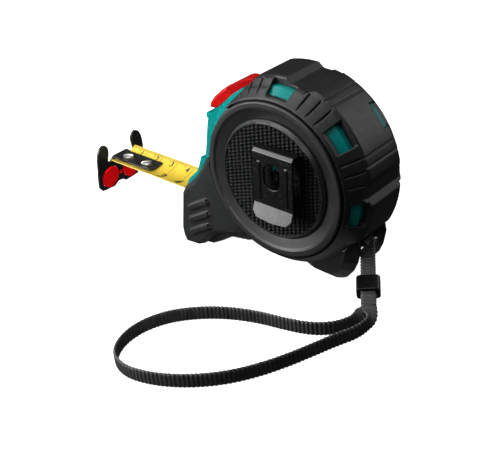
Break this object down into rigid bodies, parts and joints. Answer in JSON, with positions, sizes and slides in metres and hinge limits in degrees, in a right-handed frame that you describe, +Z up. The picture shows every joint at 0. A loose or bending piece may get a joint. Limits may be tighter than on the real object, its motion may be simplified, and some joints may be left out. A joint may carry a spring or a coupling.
{
  "type": "tape measure",
  "caption": "Pocket tape measure: round two-shell case in a rubber jacket, spring-wound blade with a double magnetic hook, thumb lock, belt clip and wrist strap.",
  "frame": {"origin": "on the ground under the middle of the case and the drawn-out blade, clip included and strap left out", "axes": "+X from the hook to the back of the case, +Y from the belt-clip side to the screw side, along the spool axis, +Z up"},
  "size_m": [0.1699, 0.1223, 0.0822],
  "materials": {
    "shell": "satin moulded teal",
    "jacket": "matt black soft grip",
    "cover": "fine-grained black",
    "disc": "black with small raised bumps",
    "clip": "black coated sheet steel",
    "screw": "bright zinc",
    "guide": "moulded",
    "strap": "ribbed black webbing",
    "spool": "moulded",
    "coil": "yellow enamel",
    "spring": "spring steel",
    "blade": "yellow enamel with black and red print",
    "rivet": "bright",
    "hook": "black oxide",
    "magnet": "red enamel",
    "lock": "satin moulded red",
    "slider": "moulded black"
  },
  "bodies": {
    "case": {"case_shell_near": "shell", "case_shell_far": "shell", "grip_jacket_near": "jacket", "grip_jacket_far": "jacket", "face_cover_near": "cover", "face_cover_far": "cover", "face_disc_near": "disc", "face_disc_far": "disc", "belt_clip": "clip", "clip_screw": "screw", "case_screws": "screw", "axle_post": "screw", "blade_guide": "guide", "strap_pin": "screw", "strap_neck": "strap", "strap_loop": "strap"},
    "spool": {"spool_drum": "spool", "spool_flange": "spool", "tape_coil": "coil", "return_spring": "spring"},
    "blade": {"tape_blade": "blade", "hook_rivets": "rivet"},
    "hook": {"end_hook": "hook", "hook_magnets": "magnet"},
    "lock": {"lock_button": "lock", "brake_lever": "lock"},
    "slider": {"strap_slider": "slider"}
  },
  "joints": [
    {"name": "spool_spin", "type": "hinge", "parent": "case", "child": "spool", "pos_m": [0.03828, 0.00425, 0.04177], "axis": [0, 1, 0], "range_deg": [-111, 21]},
    {"name": "blade_slide", "type": "slide", "parent": "case", "child": "blade", "axis": [-0.996, 0, 0.0893], "range_m": [-0.0518, 0.01]},
    {"name": "hook_play", "type": "slide", "parent": "blade", "child": "hook", "axis": [-0.996, 0, 0.0893], "range_m": [-0.0005, 0.0005]},
    {"name": "lock_slide", "type": "slide", "parent": "case", "child": "lock", "axis": [-0.8174, 0, -0.5761], "range_m": [0, 0.002]},
    {"name": "slider_slide", "type": "slide", "parent": "case", "child": "slider", "axis": [0.5342, -0.8055, -0.2563], "range_m": [-0.006, 0.006]}
  ],
  "couplings": [
    {"joint": "blade_slide", "follows": "spool_spin", "m_per_rad": 0.0265}
  ]
}
